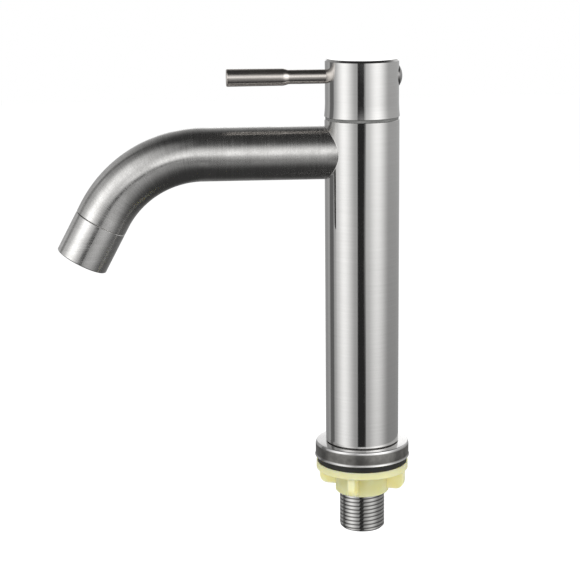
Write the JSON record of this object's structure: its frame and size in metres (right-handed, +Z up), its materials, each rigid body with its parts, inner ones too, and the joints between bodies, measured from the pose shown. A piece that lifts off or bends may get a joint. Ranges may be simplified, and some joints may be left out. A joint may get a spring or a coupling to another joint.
{
  "type": "basin tap",
  "caption": "Basin tap with a round column, bent side spout with aerator, quarter-turn handle cap with pin lever, and threaded inlet shank with gasket and wing nut.",
  "frame": {"origin": "on the axis of the shank and column, in the plane of the deck, which is the gasket's underside", "axes": "+Z up along the column; -Y is the way that the spout and the closed lever point; +X is the user's left when facing the spout's outlet"},
  "size_m": [0.0442, 0.1603, 0.2202],
  "materials": {
    "stainless_brushed": "finely brushed stainless steel",
    "stainless_turned": "turned and polished stainless steel",
    "brass": "machined brass",
    "rubber_black": "matt black rubber",
    "red_silicone": "soft silicone",
    "white_plastic": "moulded acetal",
    "grey_plastic": "moulded acetal",
    "yellow_plastic": "slightly translucent natural nylon",
    "alumina": "lapped alumina",
    "blackened_steel": "blackened steel"
  },
  "bodies": {
    "column": {"body_tube": "stainless_brushed", "valve_carrier": "brass", "base_plug": "stainless_turned", "threaded_shank": "stainless_turned", "base_flange": "stainless_turned", "base_gasket": "rubber_black", "spout_tube": "stainless_brushed", "outlet_nipple": "stainless_turned", "aerator_housing": "stainless_brushed", "aerator_washer": "rubber_black", "aerator_screen": "stainless_turned", "aerator_insert": "white_plastic", "cartridge_housing": "brass", "cartridge_gasket": "rubber_black", "fixed_ceramic_disc": "alumina", "seat_washer": "red_silicone", "glide_ring": "grey_plastic"},
    "handle": {"handle_cap": "stainless_brushed", "lever": "stainless_brushed", "index_plug": "stainless_turned", "grub_screw": "blackened_steel", "spline_adapter": "white_plastic", "cartridge_spindle": "brass", "spindle_o_rings": "rubber_black", "spindle_circlip": "blackened_steel", "moving_ceramic_disc": "alumina"},
    "washer": {"nut_washer": "yellow_plastic"},
    "nut": {"mounting_nut": "yellow_plastic"}
  },
  "joints": [
    {"name": "handle_turn", "type": "hinge", "parent": "column", "child": "handle", "pos_m": [0, 0, 0.17], "axis": [0, 0, 1], "range_deg": [0, 90]},
    {"name": "washer_travel", "type": "slide", "parent": "column", "child": "washer", "axis": [0, 0, -1], "range_m": [0, 0.0164]},
    {"name": "nut_turn", "type": "hinge", "parent": "washer", "child": "nut", "pos_m": [0, 0, -0.009], "axis": [0, 0, -1], "range_deg": [0, 3240]}
  ],
  "couplings": [
    {"joint": "washer_travel", "follows": "nut_turn", "m_per_rad": 0.00028871}
  ]
}
